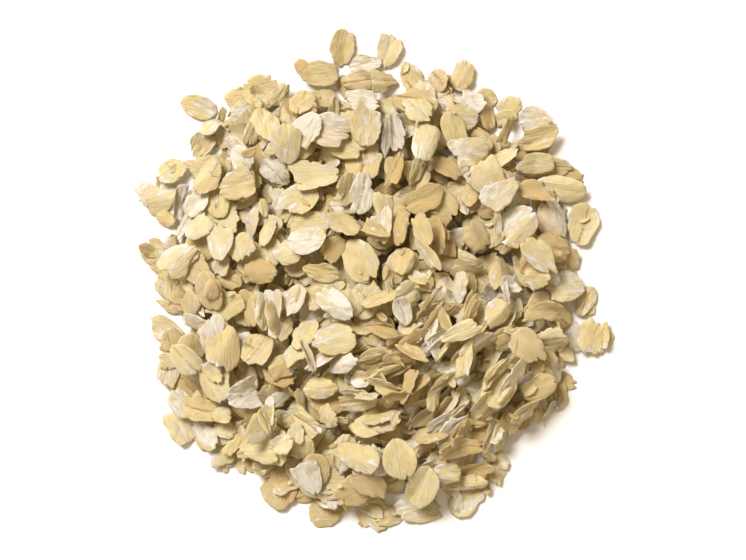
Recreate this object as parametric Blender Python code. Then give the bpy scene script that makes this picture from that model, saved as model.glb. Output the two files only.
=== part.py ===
"""A heap of rolled oats, as it lies when poured out.

Every flake is an oval slab as deep as the curl of the real flake. Flakes are laid one at a time,
and each comes to rest on what already lies under it: first the flakes of the rim, then the body
of the heap, then the flakes of its surface, and last some that fill out its skirt. The highest
few flakes, and those that touch no other, are nodes of their own. The others are joined, where
they touch, into clumps.

The heap rule works in millimetres and degrees. The objects are in metres, +Z up, with the origin
on the surface that the heap lies on, under the middle of its box.
"""

from dataclasses import dataclass
from math import atan2, cos, degrees, hypot, pi, radians, sin, sqrt, tan, tau

import bmesh
import bpy
import numpy as np
from mathutils import Matrix, Vector

MM = 0.001

# The body of the heap
HEAP_RADIUS = (51, 50, 51, 52, 52, 54, 56, 52)  # at every 45 degrees, from +X towards +Y
BODY_HEIGHT = 13.5
SKIRT_HEIGHT = 1.5
SHAPE_POWER = 2.0
BODY_FLAKES = 345
BODY_INSET = 7.0
SKIRT_FLAKES = 80
SKIRT_INSET = 5.5
SKIRT_INNER_SHARE = 0.72
SEED = 7

# A flake
FLAKE_LENGTH = (8.6, 11.6)
BROKEN_LENGTH = (5.0, 7.5)
BROKEN_SHARE = 0.14
FLAKE_ASPECT = (0.62, 0.80)
FLAKE_DEPTH = 1.1
RIM_POINTS = 6

# How flakes lie on each other
GAP = 0.1
CELL = 0.4
GRID_SPAN = 150.0
WINDOW_MARGIN = 1.5
STEEPEST = 0.6
FAR = 1000.0
FAR_POINTS = 9
SUPPORT_SWAPS = 60
TILT_COST = 1.0
PLACES_TRIED = 20
SIDE_GAP = 0.3
SHIFTS = [(x, y) for x in (0.0, -1.0, 1.0, -2.0, 2.0) for y in (0.0, -1.0, 1.0, -2.0, 2.0)]
RIM_SHIFT_COST = 1.2
SURFACE_SHIFT_COST = 0.4
LEAN_SHARES = (1.0, -1.0, 0.5, -0.5)
FLATTER_COST = 2.0
LOOSE_COST = 4.0
NOBODY = -1

# The columns where two flakes of a clump touch
SPOT_SIDES = 3
SPOT_RADIUS = 0.3
SPOT_REACH = 3.0
SPOT_BITE = 0.35
HEXAGON_INSIDE = 0.86

# Nodes, and the shares of the radius that divide the heap into crown, shoulder and skirt
NODE_COUNT = 60
CROWN_NODES = 8
RINGS = (("crown", 0.36), ("shoulder", 0.66), ("skirt", 0.9), ("rim", 9.0))
COMPASS = ("e", "ne", "n", "nw", "w", "sw", "s", "se")

CREAM = (0.84, 0.72, 0.46)
TAN = (0.74, 0.58, 0.32)
OAT_ROUGHNESS = 0.75

# Flakes that lie where they are wanted: x, y, heading, length, width and lean. A lean turns the
# flake about its length and lifts its left side; None lets it rest on what is under it.
RIM_FLAKES = (
    # north-west to north
    (-41.3, 41.9, -19, 9.0, 5.5, 0),
    (-37.5, 36.5, 90, 6.0, 4.5, 0),
    (-40.6, 32.8, 60, 7.0, 5.5, 0),
    (-32.0, 44.0, 10, 6.5, 4.5, 0),
    (-26.3, 46.4, 15, 10.0, 6.5, 0),
    (-16.5, 51.0, -50, 5.0, 3.5, 0),
    (-12.0, 50.0, -20, 8.0, 5.4, None),
    (-8.2, 55.0, 80, 8.5, 5.7, 0),
    (3.7, 55.0, 72, 9.0, 5.7, 0),
    (-1.5, 51.0, 10, 8.0, 5.0, None),
    (9.5, 48.8, -60, 8.0, 5.0, None),
    (15.5, 47.0, 15, 7.0, 5.0, 0),
    (21.5, 50.2, 75, 8.0, 5.2, 0),
    # north-east
    (26.0, 45.0, 0, 7.0, 5.0, None),
    (32.2, 41.7, 50, 8.0, 6.2, 0),
    (39.0, 36.0, -40, 7.0, 5.0, 0),
    (37.5, 32.0, 10, 10.5, 6.2, None),
    (44.6, 25.0, -10, 12.0, 7.0, 0),
    (43.4, 17.5, 60, 7.5, 5.5, None),
    # east
    (49.9, 14.8, 78, 10.4, 7.4, None),
    (45.8, 4.3, -60, 11.5, 6.0, 0),
    (44.6, 0.7, -50, 10.0, 7.2, None),
    (51.1, -5.0, 0, 6.0, 5.5, 0),
    (47.5, -12.4, -60, 9.5, 5.0, 0),
    (52.7, -12.9, 70, 9.5, 8.4, None),
    (44.9, -16.2, -75, 9.0, 5.5, None),
    (44.6, -24.3, -80, 9.0, 5.4, 0),
    # south-east
    (39.9, -29.0, 80, 6.0, 4.4, 0),
    (35.8, -31.0, 75, 8.0, 5.0, None),
    (28.9, -42.4, 85, 9.2, 5.5, 0),
    (22.7, -49.7, 50, 11.0, 7.0, 0),
    # south
    (12.5, -53.0, 12, 12.5, 8.0, 0),
    (-0.1, -54.5, -50, 9.5, 7.5, None),
    (-9.4, -54.7, 5, 9.8, 6.0, 0),
    (-14.6, -50.6, 10, 7.0, 5.2, None),
    (-10.4, -49.7, 0, 7.5, 6.5, None),
    (-21.8, -48.6, 60, 10.5, 8.5, 0),
    (-17.0, -45.0, -40, 8.5, 6.5, None),
    # south-west
    (-29.2, -42.4, -50, 5.5, 4.4, 0),
    (-35.3, -42.4, -60, 5.7, 4.4, 0),
    (-40.0, -36.5, -60, 9.5, 6.0, None),
    (-26.0, -42.0, 75, 8.5, 5.4, None),
    (-46.8, -33.3, -60, 10.5, 7.2, 0),
    (-44.4, -23.1, -50, 11.0, 9.5, None),
    # west
    (-47.0, -15.0, 5, 7.0, 4.5, 0),
    (-49.4, -11.2, -15, 9.5, 5.7, None),
    (-45.8, -1.7, -30, 12.0, 9.0, 0),
    (-48.4, -20.6, 80, 9.0, 5.8, None),
    (-45.6, -28.2, -50, 8.5, 5.6, None),
    (-51.8, 6.0, -60, 7.5, 6.2, 0),
    (-47.0, 7.4, 80, 9.0, 4.5, None),
    (-51.3, 20.5, 20, 10.5, 8.8, 0),
    (-47.7, 26.4, 30, 7.5, 5.8, None),
)

SURFACE_FLAKES = (
    # north-west
    (-22.0, 44.7, 55, 6.6, 4.2, None),
    (-30.8, 40.7, 0, 7.5, 5.2, None),
    (-24.9, 41.6, -70, 6.1, 4.2, None),
    (-32.0, 36.0, -30, 7.0, 5.2, None),
    (-13.7, 42.4, -5, 7.5, 5.2, None),
    (-13.7, 47.2, 0, 8.5, 5.2, None),
    (-5.4, 47.2, 5, 7.5, 5.2, None),
    (1.8, 47.8, -10, 8.9, 5.6, None),
    (-3.7, 42.4, 20, 8.9, 5.8, None),
    (-16.8, 38.8, 6, 9.9, 6.1, None),
    (-9.4, 40.0, 85, 8.9, 4.0, 42),
    (-23.2, 31.4, -20, 7.5, 5.6, None),
    (-17.3, 32.1, 12, 9.4, 6.0, None),
    (-28.0, 36.4, 66, 8.5, 4.0, 42),
    (-24.4, 35.2, 58, 8.5, 4.0, 42),
    (-28.9, 25.5, -80, 8.0, 5.2, None),
    (-31.7, 31.2, -50, 9.4, 5.2, -35),
    (-45.4, 21.4, 70, 8.9, 4.0, 42),
    (-37.5, 26.0, -5, 10.3, 8.5, None),
    (-22.8, 26.4, -45, 8.5, 5.8, None),
    (-30.0, 22.0, -25, 7.5, 5.2, None),
    (-37.5, 9.5, -60, 8.5, 5.6, None),
    (-45.2, 15.5, 62, 8.9, 4.0, 42),
    (-36.3, 16.4, 30, 10.3, 8.9, None),
    (-28.6, 15.8, 68, 9.4, 4.0, 42),
    (-25.6, 12.6, 65, 7.5, 4.0, 42),
    (-19.7, 17.2, 35, 10.8, 7.7, None),
    (-41.6, 6.4, -85, 11.8, 6.0, None),
    (-33.4, 3.1, 70, 6.1, 4.7, None),
    (-26.0, 2.6, -15, 7.5, 6.1, None),
    (-30.3, 7.6, 85, 7.3, 6.0, None),
    (-17.3, 4.0, 20, 7.0, 4.7, None),
    (-12.0, 2.6, -10, 8.9, 4.7, 25),
    (-20.6, 8.3, 0, 8.1, 6.6, None),
    (-14.0, 25.0, 3, 12.2, 7.3, None),
    (-8.4, 22.1, 80, 8.0, 5.8, None),
    (-6.1, 33.4, 12, 10.5, 7.3, None),
    (-10.1, 6.2, 35, 6.6, 5.6, None),
    (-7.7, 15.2, -25, 10.2, 6.0, None),
    (-13.2, 10.0, 15, 9.0, 6.8, None),
    (-3.0, 20.2, 76, 10.2, 6.6, None),
    (-3.7, 5.8, -65, 10.5, 7.9, None),
    # north-east
    (1.8, 33.2, 80, 10.3, 4.0, 42),
    (5.1, 36.0, -82, 9.9, 4.0, 42),
    (8.2, 28.1, 80, 8.5, 4.0, 42),
    (5.2, 24.8, 62, 10.3, 4.0, -42),
    (15.8, 42.4, 5, 8.5, 5.2, None),
    (10.1, 41.2, -15, 8.3, 5.6, None),
    (27.0, 40.4, -80, 8.0, 4.0, 42),
    (23.0, 42.6, 10, 8.0, 6.2, None),
    (25.8, 34.0, -65, 8.0, 4.0, 42),
    (31.2, 34.8, 66, 8.0, 4.0, 42),
    (21.4, 34.8, -74, 10.3, 5.6, 35),
    (17.4, 34.2, -68, 10.8, 6.0, None),
    (29.4, 29.4, 35, 7.5, 4.0, 42),
    (37.6, 37.0, 0, 8.9, 6.0, None),
    (37.4, 33.4, 15, 9.9, 5.8, None),
    (41.2, 27.6, -5, 11.8, 5.6, None),
    (36.0, 30.2, 8, 9.4, 5.3, None),
    (17.8, 27.0, -50, 8.5, 5.6, 30),
    (30.4, 25.8, 10, 8.9, 5.2, None),
    (43.6, 24.2, -8, 12.2, 6.6, None),
    (23.4, 21.8, 78, 8.5, 4.0, 42),
    (18.6, 20.9, -60, 8.6, 6.0, None),
    (12.0, 19.8, 26, 9.9, 6.1, None),
    (14.9, 14.2, -20, 8.0, 5.6, None),
    (11.1, 30.6, 75, 10.2, 6.6, None),
    (7.6, 13.4, 80, 9.4, 4.0, 42),
    (9.8, 14.2, 80, 8.9, 4.0, 42),
    (11.6, 12.4, -75, 8.0, 4.9, 30),
    (4.0, 11.2, 85, 9.8, 6.0, None),
    (14.2, 6.4, -65, 9.4, 4.0, -42),
    (3.9, 4.4, -80, 7.1, 5.1, None),
    (8.2, 7.2, 60, 6.6, 5.2, None),
    (11.6, 2.4, -45, 6.1, 4.9, None),
    (27.4, 17.0, 20, 8.1, 5.6, None),
    (32.6, 22.0, 80, 9.0, 5.6, None),
    (38.2, 21.5, 75, 7.5, 6.2, None),
    (41.0, 10.6, -25, 7.0, 5.2, None),
    (35.2, 9.6, -22, 9.4, 5.6, None),
    (24.5, 10.8, -60, 8.8, 6.4, None),
    (19.7, 6.2, -8, 8.5, 7.3, None),
    (30.2, 12.4, 57, 9.2, 6.8, None),
    (28.0, 1.9, 86, 8.0, 5.3, None),
    (33.6, 1.7, -62, 8.9, 4.0, -42),
    (18.8, -1.7, -65, 9.2, 6.6, None),
    # south-east
    (2.3, -5.2, -82, 7.5, 6.0, None),
    (7.2, -2.4, 30, 7.0, 5.8, None),
    (7.0, -6.4, -70, 6.6, 4.5, None),
    (12.3, -5.0, 10, 8.0, 4.0, 42),
    (11.3, -10.7, -70, 7.5, 4.9, None),
    (16.8, -8.8, -66, 8.5, 4.0, -42),
    (14.4, -12.0, -75, 8.9, 4.0, -42),
    (3.0, -11.8, -20, 8.9, 4.0, 42),
    (0.6, -16.0, 15, 8.0, 4.0, 42),
    (6.0, -17.4, 10, 8.0, 4.0, 42),
    (10.8, -15.4, -32, 9.4, 4.0, 42),
    (23.2, -5.2, 80, 7.5, 4.0, 42),
    (27.0, -6.2, 55, 7.5, 5.8, None),
    (30.4, -2.4, 0, 5.8, 4.1, None),
    (36.8, -3.6, 20, 8.1, 7.1, None),
    (42.2, -7.0, -40, 8.0, 6.0, None),
    (28.0, -10.6, 35, 8.9, 4.0, 42),
    (20.8, -11.2, 24, 11.3, 4.0, 42),
    (39.8, -10.8, 15, 8.8, 5.2, 35),
    (33.0, -13.2, 30, 9.0, 5.6, None),
    (21.4, -15.8, 40, 10.3, 6.2, None),
    (38.2, -17.6, 88, 9.4, 6.0, None),
    (39.6, -19.0, 45, 7.7, 7.0, None),
    (20.0, -21.6, 30, 6.1, 4.9, None),
    (30.2, -18.8, -38, 9.6, 6.0, None),
    (3.6, -22.2, -64, 8.6, 4.0, -42),
    (9.9, -25.2, 68, 8.8, 4.0, 42),
    (7.4, -24.4, 64, 8.8, 4.0, 42),
    (13.5, -25.2, 80, 8.8, 4.0, 42),
    (25.6, -24.2, 18, 9.4, 6.6, None),
    (6.6, -45.5, 22, 7.5, 5.2, None),
    (8.2, -40.8, 20, 9.2, 5.3, 25),
    (12.0, -42.4, 50, 8.6, 5.2, 30),
    (15.4, -30.4, 30, 10.8, 4.0, 42),
    (13.0, -35.0, 48, 9.9, 4.0, 42),
    (17.4, -33.6, 50, 10.3, 5.0, 42),
    (20.6, -34.2, 55, 9.9, 4.0, 42),
    (23.8, -33.2, 60, 9.9, 4.0, 42),
    (27.0, -32.0, 63, 9.9, 4.0, 42),
    (30.2, -31.4, 66, 9.9, 4.0, 42),
    (33.4, -31.0, 66, 9.4, 4.0, 42),
    (21.2, -38.8, 3, 11.3, 4.6, 20),
    (21.8, -42.0, 0, 11.3, 4.0, 42),
    (20.8, -45.2, 2, 10.8, 4.4, 36),
    # south-west
    (-6.5, -46.9, -70, 8.5, 5.2, None),
    (-1.1, -47.2, 10, 8.5, 7.1, None),
    (1.8, -42.0, 10, 6.1, 4.3, None),
    (-8.4, -41.4, 20, 8.1, 5.3, None),
    (-3.7, -37.4, 20, 9.8, 5.2, 35),
    (0.6, -33.6, 8, 11.5, 5.5, 25),
    (3.7, -29.8, 10, 10.7, 4.0, 42),
    (-2.5, -27.0, 5, 9.4, 5.5, None),
    (-0.8, -22.4, 10, 5.5, 4.3, None),
    (-10.1, -24.8, 0, 8.5, 5.3, None),
    (-4.9, -20.6, 30, 9.4, 5.6, None),
    (-9.6, -19.6, 35, 10.3, 4.0, 42),
    (-8.4, -29.0, 80, 5.8, 5.5, None),
    (-13.4, -30.8, -30, 8.1, 5.3, None),
    (-14.4, -36.8, 80, 7.1, 6.0, None),
    (-17.3, -30.6, 25, 5.6, 4.1, None),
    (-21.3, -29.6, 22, 6.2, 4.1, None),
    (-28.0, -29.0, -35, 8.5, 4.0, 42),
    (-19.6, -24.2, -20, 8.8, 5.2, -30),
    (-21.8, -37.0, 12, 9.6, 8.3, None),
    (-29.6, -35.6, -65, 10.2, 5.6, None),
    (-34.4, -35.5, 70, 6.6, 5.1, None),
    (-39.6, -35.6, -62, 8.9, 5.6, None),
    (-40.0, -30.2, -12, 10.8, 6.0, None),
    (-35.8, -31.2, 0, 5.5, 3.9, 25),
    (-36.3, -20.6, -55, 9.4, 6.8, None),
    (-30.1, -21.8, -75, 7.5, 5.3, None),
    (-20.8, -19.4, 30, 8.1, 5.6, None),
    (-15.6, -18.8, 40, 7.3, 5.3, None),
    (-24.9, -17.8, 50, 9.4, 7.9, None),
    (-29.6, -14.0, 42, 8.1, 6.8, None),
    (-19.6, -12.4, 70, 8.1, 5.6, None),
    (-14.9, -14.0, 52, 8.8, 5.6, None),
    (-2.5, -4.0, -70, 7.5, 5.3, None),
    (-10.6, -1.4, 20, 7.5, 5.3, None),
    (-8.4, -5.0, -35, 10.7, 6.0, None),
    (-8.2, -11.4, 15, 10.2, 7.9, None),
    (-16.1, -6.0, 60, 8.1, 5.5, None),
    (-21.0, -5.0, 40, 7.9, 6.2, None),
    (-28.2, -6.4, 84, 8.1, 4.0, 42),
    (-26.1, -6.9, 95, 8.8, 4.0, 42),
    (-24.0, -7.6, 100, 8.1, 4.0, 42),
    (-35.1, -1.4, -25, 9.2, 6.0, None),
    (-40.6, -3.3, 85, 7.7, 5.6, None),
    (-34.2, -5.4, 22, 9.8, 6.4, None),
    (-39.9, -8.6, -20, 9.8, 4.0, 42),
    (-38.2, -11.7, -42, 7.5, 4.9, None),
    (-41.8, -12.6, 80, 7.5, 6.6, None),
)


@dataclass
class Flake:
    """An oval slab: its middle, the way its long axis points, and the slope of its plane."""

    x: float
    y: float
    heading: float
    length: float
    width: float
    z: float = 0.0
    slope: tuple = (0.0, 0.0)

    def axes(self):
        """Unit vectors along its length, across it, and out of its upper face."""
        rise_x, rise_y = self.slope
        normal = Vector((-rise_x, -rise_y, 1.0)).normalized()
        east, north = cos(radians(self.heading)), sin(radians(self.heading))
        along = Vector((east, north, rise_x * east + rise_y * north)).normalized()
        return along, normal.cross(along), normal

    def leaning(self, lean):
        """Its slope when it is turned about its length, lifting its left side."""
        steepness = tan(radians(lean))
        return -sin(radians(self.heading)) * steepness, cos(radians(self.heading)) * steepness


@dataclass
class Rest:
    """Where a flake would come to rest over a window of the grid: the cells it covers, the cells
    well inside its faces, and the heights of its lower and upper face in each."""

    window: tuple
    cover: np.ndarray
    core: np.ndarray
    bottom: np.ndarray
    top: np.ndarray


@dataclass
class Touch:
    """A spot where one flake lies on another, and the heights of the two faces there."""

    upper: int
    lower: int
    x: float
    y: float
    low: float
    high: float


def resting_slope(x, y, height):
    """Slope of the lowest plane over the points with the middle, (0, 0), between its supports.

    A far ring of points holds it to the steepest slope. Each step swaps a support for the point
    that stands highest above the plane, until none does.
    """
    ring = np.arange(FAR_POINTS) * tau / FAR_POINTS
    points = np.stack(
        [
            np.concatenate([FAR * np.cos(ring), x]),
            np.concatenate([FAR * np.sin(ring), y]),
            np.concatenate([np.full(FAR_POINTS, height.max() - STEEPEST * FAR), height]),
        ],
        axis=1,
    )
    supports = [0, FAR_POINTS // 3, 2 * FAR_POINTS // 3]
    plane = np.zeros(3)
    for _ in range(SUPPORT_SWAPS):
        corners = points[supports]
        plane = np.linalg.solve(np.c_[corners[:, :2], np.ones(3)], corners[:, 2])
        above = points[:, 2] - points[:, 0] * plane[0] - points[:, 1] * plane[1] - plane[2]
        highest = int(above.argmax())
        if above[highest] < 1e-4:
            break
        for k in range(3):
            trial = supports[:k] + [highest] + supports[k + 1 :]
            if middle_inside(points[trial]):
                supports = trial
                break
        else:
            break
    return round(float(plane[0]), 3), round(float(plane[1]), 3)


def middle_inside(corners):
    """Whether (0, 0) is inside the triangle, seen from above."""
    turns = [
        corners[k][0] * corners[k - 1][1] - corners[k][1] * corners[k - 1][0] for k in range(3)
    ]
    return abs(sum(turns)) > 1e-3 and (min(turns) >= -1e-9 or max(turns) <= 1e-9)


class Heap:
    """The flakes laid so far, and over a grid, the height of the topmost and which flake it is."""

    def __init__(self):
        count = round(GRID_SPAN / CELL)
        self.axis = (np.arange(count) + 0.5) * CELL - GRID_SPAN / 2
        self.top = np.full((count, count), -GAP)
        self.owner = np.full((count, count), NOBODY)
        self.flakes = []
        self.touches = []

    def index(self, place):
        return int(np.clip((place + GRID_SPAN / 2) / CELL, 0, len(self.axis) - 1))

    def under(self, flake):
        """A window of the grid round the flake, its cells' places from the flake's middle, which
        of them the flake covers, and which lie well inside its upper and lower faces."""
        reach = flake.length / 2 + WINDOW_MARGIN
        window = (
            slice(self.index(flake.x - reach), self.index(flake.x + reach) + 1),
            slice(self.index(flake.y - reach), self.index(flake.y + reach) + 1),
        )
        x, y = np.meshgrid(
            self.axis[window[0]] - flake.x, self.axis[window[1]] - flake.y, indexing="ij"
        )
        rise = x * flake.slope[0] + y * flake.slope[1]
        along, across, _ = flake.axes()
        p = x * along.x + y * along.y + rise * along.z
        q = x * across.x + y * across.y + rise * across.z
        half, side = flake.length / 2, flake.width / 2
        lean = FLAKE_DEPTH / 2 * hypot(*flake.slope)
        outer = SIDE_GAP + lean
        cover = (p / (half + outer)) ** 2 + (q / (side + outer)) ** 2 <= 1.0
        core = (p / max(half - lean, CELL)) ** 2 + (q / max(side - lean, CELL)) ** 2
        return window, x, y, cover, core <= HEXAGON_INSIDE**2

    def settle(self, flake, slope=None):
        """Gives the flake its slope, found unless it is given, and its height at rest."""
        flake.slope = slope or (0.0, 0.0)
        if slope is None:
            for _ in range(2):
                window, x, y, cover, _ = self.under(flake)
                flake.slope = resting_slope(x[cover], y[cover], self.top[window][cover])
        window, x, y, cover, core = self.under(flake)
        rise = x * flake.slope[0] + y * flake.slope[1]
        slack = (abs(flake.slope[0]) + abs(flake.slope[1])) * CELL / 2
        thick = FLAKE_DEPTH * sqrt(1 + flake.slope[0] ** 2 + flake.slope[1] ** 2)
        low = round(float((self.top[window] - rise)[cover].max()) + slack + GAP, 3)
        flake.z = low + thick / 2
        return Rest(window, cover, core, low + rise, low + rise + thick + slack)

    def touched(self, rest):
        """For each flake under the one at rest, the height and cell where the two are closest."""
        owners = self.owner[rest.window]
        clear = rest.bottom - self.top[rest.window]
        close = rest.core & (owners != NOBODY) & (clear < SPOT_REACH)
        found = {}
        for lower in np.unique(owners[close]):
            spots = np.where(close & (owners == lower), clear, np.inf)
            found[int(lower)] = np.unravel_index(spots.argmin(), spots.shape)
        return found

    def lay(self, flake, slope=None):
        """Brings a flake down to rest, and keeps the spots where it touches others."""
        rest = self.settle(flake, slope)
        number = len(self.flakes)
        self.flakes.append(flake)
        for lower, cell in self.touched(rest).items():
            x = float(self.axis[rest.window[0]][cell[0]])
            y = float(self.axis[rest.window[1]][cell[1]])
            low = float(self.top[rest.window][cell])
            self.touches.append(Touch(number, lower, x, y, low, float(rest.bottom[cell])))
        self.top[rest.window][rest.cover] = rest.top[rest.cover]
        self.owner[rest.window][rest.cover] = NOBODY
        self.owner[rest.window][rest.core] = number


def heap_radius(angle):
    """How far the heap reaches in a direction, smoothly between the radii given."""
    place = (angle % tau) / tau * len(HEAP_RADIUS)
    first = int(place) % len(HEAP_RADIUS)
    share = (1 - cos(pi * (place - int(place)))) / 2
    return HEAP_RADIUS[first] * (1 - share) + HEAP_RADIUS[(first + 1) % len(HEAP_RADIUS)] * share


def out_from_middle(x, y):
    """How far out a place is, as a share of the heap's radius in its direction."""
    return hypot(x, y) / heap_radius(atan2(y, x))


def body_height(x, y):
    share = min(1.0, out_from_middle(x, y))
    return SKIRT_HEIGHT + (BODY_HEIGHT - SKIRT_HEIGHT) * (1 - share**SHAPE_POWER)


def random_flake(rng, inner_share, inset):
    """A flake, whole or broken, at least that share of the radius out, and that far inside it."""
    angle = rng.uniform(0, tau)
    radius = heap_radius(angle)
    reach = sqrt(rng.uniform((inner_share * radius) ** 2, (radius - inset) ** 2))
    broken = rng.random() < BROKEN_SHARE
    length = rng.uniform(*(BROKEN_LENGTH if broken else FLAKE_LENGTH))
    width = length * rng.uniform(*FLAKE_ASPECT)
    return Flake(reach * cos(angle), reach * sin(angle), rng.uniform(0, 360), length, width)


def pour_flakes(heap, rng, count, inner_share, inset):
    """Lays flakes one by one, each at the best of a few places tried: where it lies low for the
    heap's shape, level, and on flakes that it touches."""
    for _ in range(count):
        costs = []
        tried = [random_flake(rng, inner_share, inset) for _ in range(PLACES_TRIED)]
        for flake in tried:
            rest = heap.settle(flake)
            cost = flake.z - body_height(flake.x, flake.y) + TILT_COST * hypot(*flake.slope)
            if flake.z > FLAKE_DEPTH and not heap.touched(rest):
                cost += LOOSE_COST
            costs.append(cost)
        heap.lay(tried[int(np.argmin(costs))])


def lay_placed(heap, rows, shift_cost):
    """Lays each flake where it lies lowest, within a small shift of its place. One that leans
    may do so to either side, and half as much where that lets it lie a good deal lower."""
    for x, y, heading, length, width, lean in rows:
        best = None
        for shift_x, shift_y in SHIFTS:
            for share in LEAN_SHARES if lean else (1.0,):
                flake = Flake(x + shift_x, y + shift_y, heading, length, width)
                rest = heap.settle(flake, None if lean is None else flake.leaning(share * lean))
                cost = flake.z + shift_cost * hypot(shift_x, shift_y)
                cost += FLATTER_COST * (1 - abs(share))
                if flake.z > FLAKE_DEPTH and not heap.touched(rest):
                    cost += LOOSE_COST
                if best is None or cost < best[0]:
                    best = (cost, flake)
        heap.lay(best[1], best[1].slope)


def pour():
    heap = Heap()
    rng = np.random.default_rng(SEED)
    lay_placed(heap, RIM_FLAKES, RIM_SHIFT_COST)
    pour_flakes(heap, rng, BODY_FLAKES, 0.0, BODY_INSET)
    lay_placed(heap, SURFACE_FLAKES, SURFACE_SHIFT_COST)
    pour_flakes(heap, rng, SKIRT_FLAKES, SKIRT_INNER_SHARE, SKIRT_INSET)
    return heap


def distance(heap, members, others):
    """How far apart the middles of two groups of flakes are."""
    middles = [
        np.mean([(heap.flakes[n].x, heap.flakes[n].y, heap.flakes[n].z) for n in group], axis=0)
        for group in (members, others)
    ]
    return float(np.linalg.norm(middles[0] - middles[1]))


def join_into_clumps(heap, alone, wanted):
    """Joins touching flakes, the smallest group to the nearest it touches, until few are left.

    Returns the groups, as lists of flakes, with the touches that join each. A flake that touches
    no other, such as a stray one beside the heap, stays a group of one.
    """
    members = {n: [n] for n in range(len(heap.flakes)) if n not in alone}
    joins = {n: [] for n in members}
    home = {n: n for n in members}
    touches = [t for t in heap.touches if t.upper in home and t.lower in home]
    while len(members) > wanted:
        for small in sorted(members, key=lambda n: (len(members[n]), n)):
            beside = {}
            for touch in touches:
                ends = {home[touch.upper], home[touch.lower]}
                if small in ends and len(ends) == 2:
                    other = (ends - {small}).pop()
                    best = beside.get(other)
                    if best is None or touch.high - touch.low < best.high - best.low:
                        beside[other] = touch
            if beside:
                break
        else:
            break
        other = min(beside, key=lambda n: distance(heap, members[small], members[n]))
        for flake in members[small]:
            home[flake] = other
        members[other] += members.pop(small)
        joins[other] += joins.pop(small) + [beside[other]]
    return [(members[n], joins[n]) for n in members]


def place_name(flakes):
    """A name by size and place, north being +Y, such as skirt_clump_sw or rim_flake_e."""
    x, y = np.mean([(flake.x, flake.y) for flake in flakes], axis=0)
    share = out_from_middle(x, y)
    ring = next(name for name, limit in RINGS if share < limit)
    kind = "flake" if len(flakes) == 1 else "clump"
    return f"{ring}_{kind}_{COMPASS[round(degrees(atan2(y, x)) / 45) % len(COMPASS)]}"


def numbered(names):
    """The names with a number after each that comes more than once."""
    counts = {}
    result = []
    for name in names:
        counts[name] = counts.get(name, 0) + 1
        result.append(f"{name}_{counts[name]}" if names.count(name) > 1 else name)
    return result


def add_flake(mesh, flake, centre):
    """A flake as a six-sided slab whose lower rim is turned half a side from its upper one."""
    along, across, normal = flake.axes()
    middle = Vector((flake.x, flake.y, flake.z)) - centre
    rims = []
    for side, turn in ((-1, 0.5), (1, 0.0)):
        rim = []
        for k in range(RIM_POINTS):
            angle = tau * (k + turn) / RIM_POINTS
            place = middle + along * (flake.length / 2 * cos(angle))
            place += across * (flake.width / 2 * sin(angle)) + normal * (side * FLAKE_DEPTH / 2)
            rim.append(mesh.verts.new(place * MM))
        rims.append(rim)
    lower, upper = rims
    mesh.faces.new(lower[::-1])
    mesh.faces.new(upper)
    for k in range(RIM_POINTS):
        following = (k + 1) % RIM_POINTS
        mesh.faces.new((upper[k], lower[k], upper[following]))
        mesh.faces.new((lower[k], lower[following], upper[following]))


def add_spot(mesh, touch, centre):
    """The small column where two flakes of one clump are pressed together."""
    middle = Vector((touch.x, touch.y, (touch.low + touch.high) / 2)) - centre
    bmesh.ops.create_cone(
        mesh,
        cap_ends=True,
        segments=SPOT_SIDES,
        radius1=SPOT_RADIUS * MM,
        radius2=SPOT_RADIUS * MM,
        depth=(touch.high - touch.low + 2 * SPOT_BITE) * MM,
        matrix=Matrix.Translation(middle * MM),
    )


def new_object(name, mesh, centre, parent):
    data = bpy.data.meshes.new(name)
    mesh.to_mesh(data)
    mesh.free()
    made = bpy.data.objects.new(name, data)
    bpy.context.scene.collection.objects.link(made)
    made.parent = parent
    made.location = centre * MM
    return made


def oat_material(name, colour):
    material = bpy.data.materials.new(name)
    material.use_nodes = True
    shader = material.node_tree.nodes["Principled BSDF"]
    shader.inputs["Base Color"].default_value = (*colour, 1.0)
    shader.inputs["Roughness"].default_value = OAT_ROUGHNESS
    shader.inputs["Metallic"].default_value = 0.0
    return material


def make_node(name, flakes, joins, shift, parent, material):
    """One object: its flakes, and the columns that join them, as one closed body."""
    centre = sum((Vector((f.x, f.y, f.z)) for f in flakes), Vector()) / len(flakes)
    mesh = bmesh.new()
    for flake in flakes:
        add_flake(mesh, flake, centre)
    made = new_object(name, mesh, centre + shift, parent)
    made.data.materials.append(material)
    if joins:
        spots = bmesh.new()
        for touch in joins:
            add_spot(spots, touch, centre)
        helper = new_object(name + "_touches", spots, centre + shift, parent)
        helper.hide_render = True
        helper.display_type = "WIRE"
        union = made.modifiers.new("pressed_together", "BOOLEAN")
        union.operation = "UNION"
        union.solver = "EXACT"
        union.object = helper


def shift_to_middle(heap):
    """The move that puts the middle of the heap's box over the origin."""
    corners = []
    for flake in heap.flakes:
        along, across, _ = flake.axes()
        for k in range(RIM_POINTS):
            angle = tau * k / RIM_POINTS
            corner = along * (flake.length / 2 * cos(angle))
            corner += across * (flake.width / 2 * sin(angle))
            corners.append((flake.x + corner.x, flake.y + corner.y))
    low, high = np.min(corners, axis=0), np.max(corners, axis=0)
    return Vector((-round((low[0] + high[0]) / 2, 1), -round((low[1] + high[1]) / 2, 1), 0.0))


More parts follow.
